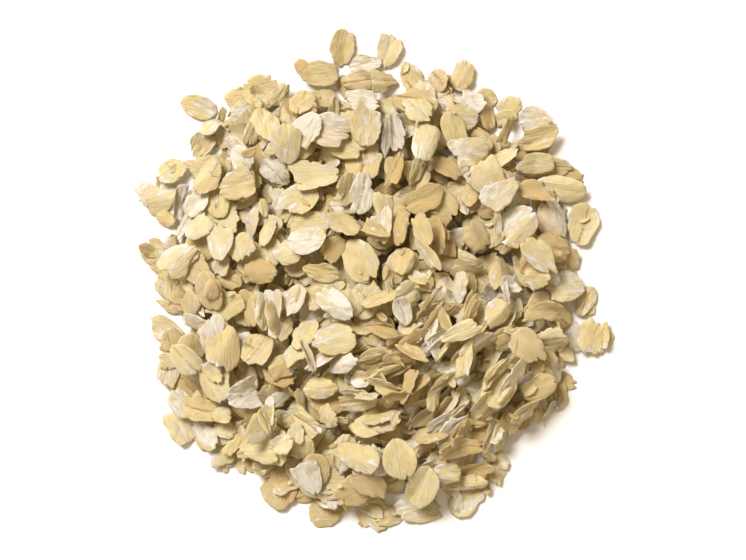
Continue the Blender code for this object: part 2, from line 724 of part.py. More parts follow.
def main():
    for old in list(bpy.data.objects):
        bpy.data.objects.remove(old)
    heap = pour()
    highest = sorted(range(len(heap.flakes)), key=lambda n: -heap.flakes[n].z)
    alone = highest[:CROWN_NODES]
    groups = [([n], []) for n in alone]
    groups += join_into_clumps(heap, set(alone), NODE_COUNT - len(alone))

    base = bpy.data.objects.new("heap", None)
    bpy.context.scene.collection.objects.link(base)
    shift = shift_to_middle(heap)
    single = oat_material("oat_cream", CREAM)
    joined = oat_material("oat_tan", TAN)
    names = numbered([place_name([heap.flakes[n] for n in members]) for members, _ in groups])
    for name, (members, joins) in zip(names, groups):
        flakes = [heap.flakes[n] for n in members]
        make_node(name, flakes, joins, shift, base, joined if joins else single)


main()
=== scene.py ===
"""The looks of a heap of rolled oats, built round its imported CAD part.

In the CAD part every flake is a flat six-sided slab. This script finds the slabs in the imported
meshes and puts a real flake in the place of each: an irregular oval with thin, ragged edges, a
curl and a crease, in a procedural material. The flakes of one CAD node make one piece, which
replaces that node. Loose flakes fill the gaps that are left, narrow ones lean steeply round the
lower right, and crumbs lie on the heap. Then flakes with a clear drop under them are lowered by
it. Many flakes cut into others all the same, and a few touch nothing.
Lengths are in metres, except where a name ends in _mm or _MM.
"""

from dataclasses import dataclass
from math import atan2, cos, pi, radians, sin, tau

import bmesh
import bpy
import numpy as np
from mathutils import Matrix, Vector

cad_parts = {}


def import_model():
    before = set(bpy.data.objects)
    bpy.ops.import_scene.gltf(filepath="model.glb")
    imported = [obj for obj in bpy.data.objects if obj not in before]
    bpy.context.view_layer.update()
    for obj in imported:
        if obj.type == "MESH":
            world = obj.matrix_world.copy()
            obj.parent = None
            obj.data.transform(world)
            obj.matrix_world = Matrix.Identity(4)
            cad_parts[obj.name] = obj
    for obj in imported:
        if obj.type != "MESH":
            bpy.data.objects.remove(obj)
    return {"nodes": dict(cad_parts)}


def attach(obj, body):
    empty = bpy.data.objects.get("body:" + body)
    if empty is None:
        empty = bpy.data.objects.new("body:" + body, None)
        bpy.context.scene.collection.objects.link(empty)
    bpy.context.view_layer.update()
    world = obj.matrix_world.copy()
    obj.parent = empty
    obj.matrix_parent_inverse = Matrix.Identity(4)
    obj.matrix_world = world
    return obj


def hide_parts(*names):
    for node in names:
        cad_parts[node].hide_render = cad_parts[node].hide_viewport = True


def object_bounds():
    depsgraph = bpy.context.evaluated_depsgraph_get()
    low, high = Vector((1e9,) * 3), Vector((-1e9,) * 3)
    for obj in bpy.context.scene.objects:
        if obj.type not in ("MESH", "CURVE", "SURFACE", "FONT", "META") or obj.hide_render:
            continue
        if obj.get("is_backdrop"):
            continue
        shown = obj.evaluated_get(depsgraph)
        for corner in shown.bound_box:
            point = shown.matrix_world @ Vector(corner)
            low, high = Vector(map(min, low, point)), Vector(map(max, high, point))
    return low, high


MM = 0.001
SEED = 11

# Reading the slabs
SLAB_DEPTH_MM = 1.1
WELD = 1e-6
SAME_PLANE = 0.99995
SMALLEST_FACE_MM2 = 8.0

# How far out a slab's side corners are, as a share of half its width
HEXAGON_SIDE = 0.866

# The grid that tells which flakes can be seen from above, and what a sinking flake meets
CELL_MM = 0.5
GRID_SPAN_MM = 130.0
NOBODY = -1

# A flake's mesh: for each ring, how far out it is and how many points it has. The fine one is for
# flakes of which more than SEEN_SHARE can be seen.
FINE = ((0.0, 1), (0.2, 10), (0.4, 20), (0.58, 40), (0.74, 40), (0.87, 80), (0.96, 80), (1.0, 80))
COARSE = ((0.0, 1), (0.35, 8), (0.65, 16), (0.92, 32), (1.0, 32))
SEEN_SHARE = 0.03

# Between which seen shares a flake goes from covered, openness 0, to lying open, openness 1
OPEN_SHARES = (0.5, 0.8)
CRUMB_OPENNESS = 0.5

# A flake's outline: how square its oval is, how often it is torn, and how its edge is notched
OVAL_POWER = (1.8, 2.6)
OVAL_HARMONICS = range(2, 6)
TEAR_ODDS = (0.3, 0.45, 0.25)
TEAR_PLACE = (0.62, 0.92)
RAGGED = (0.012, 0.045)
RAGGED_WHERE_TORN = 0.05
EDGE_KNOTS = (9, 21, 40)
MOST_NOTCHES = 5
NOTCH_WIDTH = (0.06, 0.22)
NOTCH_DEPTH = (0.04, 0.18)
SPLIT_END_SHARE = 0.4
SPLIT_WIDTH = (0.07, 0.16)
SPLIT_DEPTH = (0.12, 0.35)

# A flake's body. ROOM scales how far it bends when covered and when open, and CURL_MM is the most
# that its middle sheet may rise and fall in all.
THICKNESS_MM = (0.55, 0.85)
FULL_THICKNESS_FLANK_MM = 2.6
FULL_BEND_FLANK_MM = 3.2
EDGE_THINNING = 0.35
TAPER = 0.3
CUP_MM = 0.3
ARCH_MM = 0.35
TWIST_MM = 0.35
FOLD_SLOPE = (0.08, 0.42)
FOLD_TURN = 0.3
FOLD_OFFSET = 0.3
FOLD_ROUNDING = 0.08
SECOND_FOLD_SHARE = 0.5
SECOND_FOLD_SLOPE = (0.12, 0.45)
SECOND_FOLD_TURN = 0.5
SECOND_FOLD_OFFSET = (0.1, 0.6)
SECOND_FOLD_ROUNDING = 0.01
ROOM = (0.5, 1.4)
CURL_MM = (1.0, 2.0)
CREASE_SHARE = 0.6
CREASE_WIDTH_MM = (0.25, 0.45)
CREASE_DEPTH_MM = (0.08, 0.25)

# Its relief: how high, and how long along and across the flake
WAVE_COUNT = 6
RIPPLE_MM = 0.10
RIPPLE_LENGTHS_MM = (4.0, 2.5)
RIDGE_MM = 0.07
RIDGE_LENGTHS_MM = (9.0, 1.3)
DIMPLE_MM = 0.03
DIMPLE_LENGTHS_MM = (1.6, 1.2)
FRILL_MM = 0.22
FRILL_KNOTS = 11
FRILL_START = 0.45

# Its coat: how much flour there is at its edge, in its crease, or on one side of it, and how its
# tone varies
EDGE_FLOUR = 0.08
CREASE_FLOUR = 0.15
SIDE_FLOUR = 0.25
TONE_SPREAD = 0.08
TONE_PATCHES = 0.15
# How much brown is painted on as shade: at its edge, in its crease, and over a flake that is
# covered
EDGE_SHADE_BROWN = 0.6
CREASE_SHADE_BROWN = 0.6
COVERED_SHADE_BROWN = 0.13

# Loose flakes that fill the gaps between the CAD part's, and crumbs
FILLERS = 270
FILLER_LENGTH_MM = (4.0, 8.0)
FILLER_ASPECT = (0.45, 0.80)
FILLER_TILT = 30.0
FILLER_LIFT_MM = 0.6
FILLER_BED_SHARE = 0.8
FILLER_BED_PERCENTILE = 25
GAP_DEPTH_MM = 2.6
BARE_DEPTH_MM = 2.0
LEVEL_REACH_MM = 5.0
BAY_MM = 4.5
INSIDE_MARGIN_MM = 0.7
CRUMBS = 220
CRUMB_LENGTH_MM = (1.2, 4.5)
CRUMB_ASPECT = (0.30, 0.65)
CRUMB_TILT = 25.0
CRUMB_LIFT_MM = 0.5
STEEPEST_TILT = 50.0

# Narrow flakes that lean steeply, across the slope round the heap's lower right
SLIVERS = 95
SLIVER_MIDDLE_MM = (15.0, -20.0)
SLIVER_SPREAD_MM = (14.0, 11.0)
SLIVER_LENGTH_MM = (6.0, 10.0)
SLIVER_ASPECT = (0.32, 0.55)
SLIVER_TILT = (35.0, 62.0)
SLIVER_CEILING_MM = 15.0
SLIVER_LIFT_MM = 0.8
SLIVER_TURN = 0.35
DOWNHILL_ODDS = (0.6, 0.4)

# The furthest that settle lowers a flake
SINK_MM = 8.0

# The stage
FRAME_WIDTH = 0.1775
AIM = (-0.0002, -0.0002)
LENS_MM = 180.0
FLOOR_SIZE = 8.0
FLOOR_DROP_MM = 0.02
FLOOR_COLOUR = (0.93, 0.93, 0.93)
FLOOR_ROUGHNESS = 0.9

# Light: colours, linear, and how high above the horizon the sky turns from white to its colour
KEY_COLOUR = (0.98, 0.965, 0.97)
SKY = (0.47, 0.37, 0.24)
HORIZON = (0.06, 0.22)
WHITE = (1.0, 1.0, 1.0)

# Colours, linear
CREAM = (0.78, 0.69, 0.42)
YELLOW = (0.76, 0.62, 0.29)
TAN = (0.60, 0.45, 0.21)
GOLD = (0.68, 0.48, 0.19)
FLOUR = (0.80, 0.76, 0.68)
# BROWN is for the oat's specks and streaks, and for shade painted at edges, in creases and on
# covered flakes
BROWN = (0.32, 0.14, 0.03)
PINK = (0.82, 0.68, 0.56)

# How floury, how tan and how pink a flake is
LOOKS = {
    "white": (0.75, 0.05, 0.15),
    "pink": (0.50, 0.10, 0.95),
    "pale": (0.42, 0.05, 0.10),
    "cream": (0.32, 0.15, 0.05),
    "yellow": (0.24, 0.25, 0.00),
    "golden": (0.16, 0.50, 0.00),
    "tan": (0.20, 0.65, 0.10),
    "brown": (0.10, 1.00, 0.00),
}
COMMON_LOOKS = ("white", "pink", "pale", "pale", "cream", "cream", "yellow", "golden", "tan")
# Darker looks: painted shade on flakes that are mostly covered, and the looks of the crumbs
DARK_LOOKS_FOR_SHADE_AND_CRUMBS = ("pale", "cream", "yellow", "golden", "tan", "brown")

# Where the flakes of each look lie, in millimetres from the middle of the heap
PLACES = {
    "white": (
        (-31, 40), (-32, 30), (-4, 42), (-23, 26), (23, 42), (5, 35), (34, 1), (14, -13),
        (30, -3), (20, -22), (26, -25), (17, -34), (2, -43), (-5, -21), (-22, -30), (-38, -12),
        (-16, -7), (-11, -50), (-17, -46), (47, -13), (7, -7), (-13, 9), (-9, -6), (-3, 19),
    ),
    "pink": (
        (-46, 20), (-45, 15), (-29, 15), (-34, 2), (16, 42), (37, 36), (44, 0), (12, -43),
        (-21, -6), (-40, -10), (-1, -23), (-10, -20), (19, -3), (11, -54), (16, 41),
    ),
    "pale": (
        (-42, 41), (-38, 36), (-23, 31), (-21, 7), (-38, 9), (11, 30), (17, 33), (35, 9),
        (30, 12), (11, 2), (-8, -12), (-30, -15), (-16, -20), (-9, -30), (40, -30), (29, -43),
        (22, -50), (-47, -34), (-45, -24), (-50, -12), (-47, 7), (-52, 20), (-48, 26), (-20, 16),
        (-22, -38),
    ),
    "cream": (
        (-25, 34), (-29, 25), (-17, 38), (-26, 12), (-6, 32), (-8, 14), (4, 10), (19, 5),
        (14, 5), (4, 3), (8, 27), (2, 32), (29, 28), (-9, -42), (-4, -38), (0, -34), (3, -31),
        (-10, -26), (-14, -32), (-37, -21), (-20, -13), (-15, -15), (-3, -5), (-26, -8),
        (3, -23), (13, -26), (30, -20), (40, -12), (21, -17), (21, -12), (27, -7), (7, -3),
        (0, -55), (-27, 45),
    ),
    "yellow": (
        (-14, 24), (-37, 15), (-9, 21), (-4, 5), (-31, 7), (-32, 43), (3, 54), (21, 49),
        (32, 41), (37, 31), (44, 24), (50, 14), (51, -6), (52, -14), (21, 34), (36, 29),
        (11, -12), (8, -42), (-15, -38), (-30, -23), (-34, -6), (-25, -19), (44, -17),
    ),
    "golden": (
        (-22, 44), (-32, 35), (2, 47), (-10, 39), (-38, 25), (-17, 3), (-12, 2), (9, 48),
        (18, 20), (11, 11), (8, 6), (37, -5), (2, -6), (0, -17), (-18, -31), (-40, -31),
        (-36, -32), (-11, -2), (-42, -13), (30, 25), (-25, 41),
    ),
    "tan": (
        (-41, 32), (-14, 41), (-14, 46), (-6, 46), (-18, 31), (-30, 21), (-42, 5), (-8, 54),
        (15, 46), (26, 44), (26, 33), (31, 34), (41, 27), (43, 17), (45, 3), (24, 10),
        (28, 1), (33, -14), (44, -25), (35, -32), (-10, -55), (-22, -49), (-47, -16),
        (-46, -3), (-52, 5), (10, 13), (42, -8), (28, -12), (38, -18), (23, -6), (12, -6),
        (17, -10), (10, -16), (-35, -2), (-41, -4), (-28, -7), (-24, -8), (-21, -20),
        (-30, -36), (-7, -48), (-1, -48),
    ),
    # Partly painted shade: brown-tan flakes, and flakes that lie in shade given this darkest look
    "brown": (
        (-17, 50), (27, 39), (5, 24), (17, 26), (12, 19), (15, 13), (7, 12), (-26, 2),
        (-10, 5), (3, -13), (6, -18), (9, -26), (7, -25), (15, -31), (13, -36), (-28, -30),
        (-20, -25), (27, 16), (38, 21), (41, 10), (20, -35), (24, -34), (27, -33), (30, -32),
        (33, -32), (21, -40), (21, -43), (21, -46),
    ),
}
SAME_PLACE_MM = 3.2
OWN_LOOK_SHARE = 0.3
COMPASS = ("e", "ne", "n", "nw", "w", "sw", "s", "se")


@dataclass
class Slab:
    """Where a flake lies: its middle, unit vectors along, across and out of its upper face, and
    its size."""

    middle: Vector
    along: Vector
    across: Vector
    normal: Vector
    length: float
    width: float


def flat_faces_up(cad):
    """The flat stretches of a node's mesh that face up, each as its corners."""
    mesh = bmesh.new()
    mesh.from_mesh(cad.data)
    bmesh.ops.remove_doubles(mesh, verts=mesh.verts, dist=WELD)
    mesh.normal_update()
    seen = set()
    for face in mesh.faces:
        if face in seen or face.normal.z <= 0:
            continue
        seen.add(face)
        flat = [face]
        for member in flat:
            for edge in member.edges:
                for beside in edge.link_faces:
                    if beside not in seen and beside.normal.dot(face.normal) > SAME_PLANE:
                        seen.add(beside)
                        flat.append(beside)
        if sum(member.calc_area() for member in flat) > SMALLEST_FACE_MM2 * MM**2:
            yield [vertex.co.copy() for member in flat for vertex in member.verts]
    mesh.free()


def read_slab(corners):
    """The slab under a six-sided upper face, two of whose corners are the ends of its length."""
    pairs = ((a, b) for a in corners for b in corners)
    first, last = max(pairs, key=lambda pair: (pair[1] - pair[0]).length)
    centre = (first + last) / 2
    along = (last - first).normalized()
    side = max(corners, key=lambda corner: (corner - centre).cross(along).length) - centre
    across = (side - along * side.dot(along)).normalized()
    normal = along.cross(across)
    if normal.z < 0:
        across, normal = -across, -normal
    width = 2 * abs(side.dot(across)) / HEXAGON_SIDE
    middle = centre - normal * (SLAB_DEPTH_MM / 2 * MM)
    return Slab(middle, along, across, normal, (last - first).length, width)


def cell_of(place):
    """Which cells of the grid places along x or y are in."""
    return ((np.asarray(place) / MM + GRID_SPAN_MM / 2) / CELL_MM).astype(int)


class Overhead:
    """The heap seen from straight above: over a grid, the height of the topmost slab and which
    slab it is."""

    def __init__(self):
        count = round(GRID_SPAN_MM / CELL_MM)
        axis = ((np.arange(count) + 0.5) * CELL_MM - GRID_SPAN_MM / 2) * MM
        self.x, self.y = np.meshgrid(axis, axis, indexing="ij")
        self.top = np.zeros(self.x.shape)
        self.owner = np.full(self.x.shape, NOBODY)
        self.slabs = []

    def under(self, slab, share=1.0):
        """The cells under that share of a slab, and how much higher it is there than in its
        middle."""
        dx, dy = self.x - slab.middle.x, self.y - slab.middle.y
        dz = -(slab.normal.x * dx + slab.normal.y * dy) / slab.normal.z
        p = dx * slab.along.x + dy * slab.along.y + dz * slab.along.z
        q = dx * slab.across.x + dy * slab.across.y + dz * slab.across.z
        return (2 * p / slab.length) ** 2 + (2 * q / slab.width) ** 2 <= share**2, dz

    def add(self, slab):
        inside, dz = self.under(slab)
        upper = inside & (slab.middle.z + dz > self.top)
        self.top[upper] = (slab.middle.z + dz)[upper]
        self.owner[upper] = len(self.slabs)
        self.slabs.append(slab)

    def seen_share(self, slab):
        """How much of a slab is topmost."""
        inside, _ = self.under(slab)
        number = next(n for n, other in enumerate(self.slabs) if other is slab)
        return (self.owner[inside] == number).sum() / max(1, inside.sum())


def spread(field, reach_mm, pick):
    """The highest, lowest or mean value of a field of cells within a square round each."""
    reach = round(reach_mm / CELL_MM)
    for axis in (0, 1):
        field = pick([np.roll(field, k, axis) for k in range(-reach, reach + 1)], axis=0)
    return field


def loose_slab(rng, x, y, z, length_mm, aspect, tilt):
    """A slab of that length at a place, turned and tilted at random."""
    heading, side = rng.uniform(0, tau), rng.uniform(0, tau)
    lean = radians(min(abs(rng.normal(0, tilt)), STEEPEST_TILT))
    return leaning_slab(rng, (x, y, z), length_mm, aspect, lean, side, heading)


def leaning_slab(rng, place, length_mm, aspect, lean, side, heading):
    """A slab of that length at a place, leaning towards one side and headed a certain way."""
    normal = Vector((sin(lean) * cos(side), sin(lean) * sin(side), cos(lean)))
    across = normal.cross(Vector((cos(heading), sin(heading), 0.0))).normalized()
    length = length_mm * MM
    width = length * rng.uniform(*aspect)
    return Slab(Vector(place), across.cross(normal), across, normal, length, width)


def fill_gaps(overhead, rng):
    """Loose flakes in the deepest gaps between those there are, and where the floor shows."""
    level = spread(spread(overhead.top, LEVEL_REACH_MM, np.max), LEVEL_REACH_MM, np.mean)
    covered = spread(overhead.owner != NOBODY, BAY_MM, np.max)
    inside = spread(covered, BAY_MM + INSIDE_MARGIN_MM, np.min)
    found = []
    for _ in range(FILLERS):
        depth = np.where(inside, np.clip(level - overhead.top - GAP_DEPTH_MM * MM, 0, None), 0)
        bare = inside & (overhead.owner == NOBODY)
        weight = (np.where(bare, BARE_DEPTH_MM * MM, depth) ** 2).ravel()
        if weight.sum() == 0:
            break
        cell = np.unravel_index(rng.choice(weight.size, p=weight / weight.sum()), depth.shape)
        length = rng.uniform(*FILLER_LENGTH_MM)
        x, y = overhead.x[cell], overhead.y[cell]
        slab = loose_slab(rng, x, y, 0.0, length, FILLER_ASPECT, FILLER_TILT)
        under, _ = overhead.under(slab, FILLER_BED_SHARE)
        bed = np.percentile(overhead.top[under], FILLER_BED_PERCENTILE)
        slab.middle.z = float(bed) + FILLER_LIFT_MM * MM
        overhead.add(slab)
        found.append(slab)
    return found


def lay_slivers(overhead, rng):
    """Narrow flakes that lean steeply up or down the slope, each headed across it."""
    found = []
    while len(found) < SLIVERS:
        x, y = rng.normal(SLIVER_MIDDLE_MM, SLIVER_SPREAD_MM) * MM
        cell = tuple(cell_of((x, y)))
        if overhead.owner[cell] == NOBODY or overhead.top[cell] > SLIVER_CEILING_MM * MM:
            continue
        downhill = atan2(y, x) + rng.normal(0, SLIVER_TURN)
        side = downhill + rng.choice((0, pi), p=DOWNHILL_ODDS)
        length = rng.uniform(*SLIVER_LENGTH_MM)
        lean = radians(rng.uniform(*SLIVER_TILT))
        place = (x, y, overhead.top[cell] + SLIVER_LIFT_MM * MM)
        slab = leaning_slab(rng, place, length, SLIVER_ASPECT, lean, side, downhill + pi / 2)
        overhead.add(slab)
        found.append(slab)
    return found


def scatter_crumbs(overhead, rng):
    """Crumbs lying on the heap."""
    cells = np.argwhere(overhead.owner != NOBODY)
    for cell in cells[rng.integers(0, len(cells), CRUMBS)]:
        place = tuple(cell)
        length = rng.uniform(*CRUMB_LENGTH_MM)
        x, y = overhead.x[place], overhead.y[place]
        z = overhead.top[place] + CRUMB_LIFT_MM * MM
        yield loose_slab(rng, x, y, z, length, CRUMB_ASPECT, CRUMB_TILT)


def look_of(slab, seen, rng):
    """The look of a flake: that of its place if it can be seen, else a common one. A mostly
    covered flake takes a darker look as painted shade, and a crumb takes one of these too.
    """
    here = Vector((slab.middle.x, slab.middle.y)) / MM
    near = [
        ((Vector(place) - here).length, look) for look, places in PLACES.items() for place in places
    ]
    away, look = min(near)
    if away > SAME_PLACE_MM or seen < OWN_LOOK_SHARE:
        look = rng.choice(COMMON_LOOKS if seen > OWN_LOOK_SHARE else DARK_LOOKS_FOR_SHADE_AND_CRUMBS)
    return LOOKS[look]


def disc_faces(rings):
    """The faces of a closed disc: an upper and a lower side that share the last ring."""
    starts = np.cumsum([0] + [count for _, count in rings])
    lower = starts[-1]
    faces = []
    for k in range(len(rings) - 1):
        inner, outer = rings[k][1], rings[k + 1][1]
        last = k + 2 == len(rings)
        for start, following, turn in (
            (starts[k], starts[k + 1], 1),
            (lower + starts[k], starts[k + 1] + (0 if last else lower), -1),
        ):
            for face in ring_faces(inner, outer):
                points = [
                    start + n % inner if own else following + n % outer for own, n in face
                ]
                faces.append(tuple(points[::turn]))
    return faces


def ring_faces(inner, outer):
    """The faces between two rings, as (is it a point of the inner ring, its number) corners."""
    for n in range(inner if inner > 1 else outer):
        if inner == 1:
            yield (True, 0), (False, n), (False, n + 1)
        elif inner == outer:
            yield (True, n), (False, n), (False, n + 1), (True, n + 1)
        else:
            yield (True, n), (False, 2 * n), (False, 2 * n + 1)
            yield (True, n), (False, 2 * n + 1), (True, n + 1)
            yield (True, n + 1), (False, 2 * n + 1), (False, 2 * n + 2)


def disc_points(rings):
    """For each point of such a disc: how far out it is, at which angle, and on which side."""
    out, angle, side = [], [], []
    for sign, chosen in ((1.0, rings), (-1.0, rings[:-1])):
        for share, count in chosen:
            out += [share] * count
            angle += [tau * n / count for n in range(count)]
            side += [0.0 if share == 1.0 else sign] * count
    return np.array(out), np.array(angle), np.array(side)


def waves(rng, x, y, count, step_x, step_y):
    """A smooth random field: a few waves about that long along x and y, added up."""
    total = np.zeros_like(x)
    for _ in range(count):
        turn_x = tau / step_x * rng.normal(0, 1)
        turn_y = tau / step_y * rng.normal(0, 1)
        total += np.sin(turn_x * x + turn_y * y + rng.uniform(0, tau))
    return total / count**0.5


def turn_between(angle, place):
    """How far each angle is from a place round the edge, at most half a turn either way."""
    return (angle - place + pi) % tau - pi


def grit(rng, angle, knots):
    """An uneven line round the edge, straight between that many random knots."""
    heights = rng.normal(0, 1, knots)
    return np.interp(angle, np.arange(knots + 1) * tau / knots, np.append(heights, heights[0]))


def outline(rng, angle):
    """How far out the edge is at each angle, as a share of the oval, smooth and in full."""
    power = rng.uniform(*OVAL_POWER)
    smooth = (np.abs(np.cos(angle)) ** power + np.abs(np.sin(angle)) ** power) ** (-1 / power)
    for k in OVAL_HARMONICS:
        smooth *= 1 + rng.normal(0, 0.05 / k) * np.cos(k * angle + rng.uniform(0, tau))
    torn = 0
    for _ in range(rng.choice(len(TEAR_ODDS), p=TEAR_ODDS)):
        toward = rng.choice((0, pi)) + rng.normal(0, 0.7)
        edge = rng.uniform(*TEAR_PLACE) / np.maximum(np.cos(angle - toward), 0.05)
        torn = np.maximum(torn, np.clip(1.4 - edge / smooth, 0, 0.4) / 0.4)
        smooth = np.minimum(smooth, edge)
    ragged = rng.uniform(*RAGGED) + RAGGED_WHERE_TORN * torn
    full = smooth * (1 + 0.8 * ragged * grit(rng, angle, EDGE_KNOTS[0]))
    full *= 1 + ragged * grit(rng, angle, EDGE_KNOTS[1])
    full *= 1 + 0.5 * ragged * grit(rng, angle, EDGE_KNOTS[2])
    notches = []
    for _ in range(rng.integers(0, MOST_NOTCHES + 1)):
        place = rng.uniform(0, tau)
        notches.append((place, rng.uniform(*NOTCH_WIDTH), rng.uniform(*NOTCH_DEPTH)))
    if rng.random() < SPLIT_END_SHARE:
        end = rng.choice((0, pi)) + rng.normal(0, 0.12)
        notches.append((end, rng.uniform(*SPLIT_WIDTH), rng.uniform(*SPLIT_DEPTH)))
    for place, wide, deep in notches:
        full *= 1 - deep * np.clip(1 - np.abs(turn_between(angle, place)) / wide, 0, 1)
    return smooth, full


@dataclass
class Shape:
    """A flake's points in the scene, and for the material, where each is on the flake in
    millimetres, how floury, tan and pink it is there, and how much brown is painted on as shade."""

    points: np.ndarray
    grain: np.ndarray
    coat_and_shade: np.ndarray


def bent(rng, u, v, room):
    """How high a flake's middle sheet stands: bent along a line or two, cupped and twisted."""
    half, flank = np.abs(u).max(), np.abs(v).max()
    height = rng.normal(0, CUP_MM) * room * (v / flank) ** 2
    height += rng.normal(0, ARCH_MM) * room * (u / half) ** 2
    height += rng.normal(0, TWIST_MM) * room * u * v / (half * flank)
    heading = rng.normal(0, FOLD_TURN)
    across = v * cos(heading) - u * sin(heading) - rng.normal(0, FOLD_OFFSET) * flank
    slope = rng.normal(*FOLD_SLOPE) * room
    height += slope * (np.sqrt(across**2 + FOLD_ROUNDING) - flank / 2)
    if rng.random() < SECOND_FOLD_SHARE:
        heading = rng.normal(0, SECOND_FOLD_TURN)
        along = u * cos(heading) + v * sin(heading) - rng.uniform(*SECOND_FOLD_OFFSET) * half
        along *= rng.choice((-1, 1))
        slope = rng.normal(*SECOND_FOLD_SLOPE) * room
        height += slope * np.sqrt(np.clip(along, 0, None) ** 2 + SECOND_FOLD_ROUNDING)
    return height


def flake_shape(slab, rng, disc, look, openness):
    """A flake in the place of a slab. One that lies open may curl up further, and one that is
    covered has brown painted on it as shade."""
    out, angle, side = disc
    smooth, full = outline(rng, angle)
    reach = out * (smooth + (full - smooth) * out**2)
    half, flank = slab.length / MM / 2, slab.width / MM / 2
    u = reach * half * np.cos(angle)
    v = reach * flank * np.sin(angle)
    v *= 1 - rng.uniform(-TAPER, TAPER) * u / half
    s, q = u / half, v / flank

    thickness = rng.uniform(*THICKNESS_MM) * min(1.0, flank / FULL_THICKNESS_FLANK_MM)
    profile = (1 - EDGE_THINNING * out**2) * np.sqrt(1 - out**8)
    body = side * thickness / 2 * profile
    room = np.interp(openness, (0, 1), ROOM)
    middle = bent(rng, u, v, room * min(1.0, flank / FULL_BEND_FLANK_MM))
    middle += RIPPLE_MM * room * waves(rng, u, v, WAVE_COUNT, *RIPPLE_LENGTHS_MM) * (0.3 + out)
    frill = np.clip(out - FRILL_START, 0, 1) ** 1.5
    middle += FRILL_MM * room * grit(rng, angle, FRILL_KNOTS) * frill
    middle *= min(1.0, np.interp(openness, (0, 1), CURL_MM) / np.ptp(middle))
    surface = RIDGE_MM * waves(rng, u, v, WAVE_COUNT, *RIDGE_LENGTHS_MM) * profile
    surface += DIMPLE_MM * waves(rng, u, v, WAVE_COUNT, *DIMPLE_LENGTHS_MM) * profile

    crease = np.zeros_like(u)
    if rng.random() < CREASE_SHARE:
        line = rng.normal(0, 0.3) + rng.normal(0, 0.05) * u + rng.normal(0, 0.02) * u**2
        crease = np.exp(-(((v - line) / rng.uniform(*CREASE_WIDTH_MM)) ** 2))
        crease *= np.clip((1.0 - np.abs(s)) * 5, 0, 1) * (side >= 0)
    w = middle + body + surface * side - rng.uniform(*CREASE_DEPTH_MM) * crease * profile
    floor = -SLAB_DEPTH_MM / 2
    w += floor + 0.02 - min(w.min(), floor + 0.3)

    floury, tan, pink = look
    toward = rng.uniform(0, tau)
    flour = floury + CREASE_FLOUR * crease + SIDE_FLOUR * (s * cos(toward) + q * sin(toward))
    flour += EDGE_FLOUR * np.clip((out - 0.88) / 0.12, 0, 1)
    tone = tan + rng.normal(0, TONE_SPREAD) + TONE_PATCHES * waves(rng, s, q, 4, 2.0, 2.0)
    # Painted shade: brown in patches round the edge and along the crease
    edge = np.clip((out - 0.9) * 10, 0, 1) * np.clip(waves(rng, s, q, 4, 1.6, 1.6), 0, 1)
    brown = EDGE_SHADE_BROWN * edge * rng.random() + CREASE_SHADE_BROWN * crease * rng.random() ** 2
    # Painted shade: brown over a covered flake, more of it the less of the flake shows
    brown += COVERED_SHADE_BROWN * (1 - openness)
    coat_and_shade = np.stack([flour, tone, brown, np.full_like(u, pink * rng.random())], axis=1)
    grain = np.stack([u, v, np.full_like(u, rng.uniform(0, 500))], axis=1)

    frame_axes = np.array([slab.along, slab.across, slab.normal])
    points = np.stack([u, v, w], axis=1) * MM @ frame_axes + np.array(slab.middle)
    points[:, 2] -= min(points[:, 2].min(), 0.0)
    return Shape(points, grain, np.clip(coat_and_shade, 0, 1))


def settle(shapes):
    """Lower each flake, the lowest first, by the drop that is clear under it on the grid. One
    that reaches below the highest point of another in any cell stays: it may cut into that one,
    or lie under a raised part of it and touch nothing."""
    count = round(GRID_SPAN_MM / CELL_MM)
    top = np.zeros((count, count))
    for shape in sorted(shapes, key=lambda shape: shape.points[:, 2].mean()):
        cells = tuple(cell_of(shape.points[:, :2]).T)
        gap = (shape.points[:, 2] - top[cells]).min()
        shape.points[:, 2] -= np.clip(gap, 0, SINK_MM * MM)
        np.maximum.at(top, cells, shape.points[:, 2])


def make_piece(name, shapes, faces, material):
    """One mesh object of several flakes."""
    counts = np.cumsum([0] + [len(shape.points) for shape in shapes])
    corners = [
        tuple(int(n + start) for n in face)
        for start, own in zip(counts, faces)
        for face in own
    ]
    mesh = bpy.data.meshes.new(name)
    mesh.from_pydata(np.concatenate([shape.points for shape in shapes]), [], corners)
    grain = mesh.attributes.new("grain", "FLOAT_VECTOR", "POINT")
    grain.data.foreach_set("vector", np.concatenate([s.grain for s in shapes]).ravel())
    coat_and_shade = mesh.attributes.new("coat_and_shade", "FLOAT_COLOR", "POINT")
    coat_and_shade.data.foreach_set("color", np.concatenate([s.coat_and_shade for s in shapes]).ravel())
    mesh.shade_smooth()
    mesh.materials.append(material)
    piece = bpy.data.objects.new(name, mesh)
    bpy.context.scene.collection.objects.link(piece)
    return piece


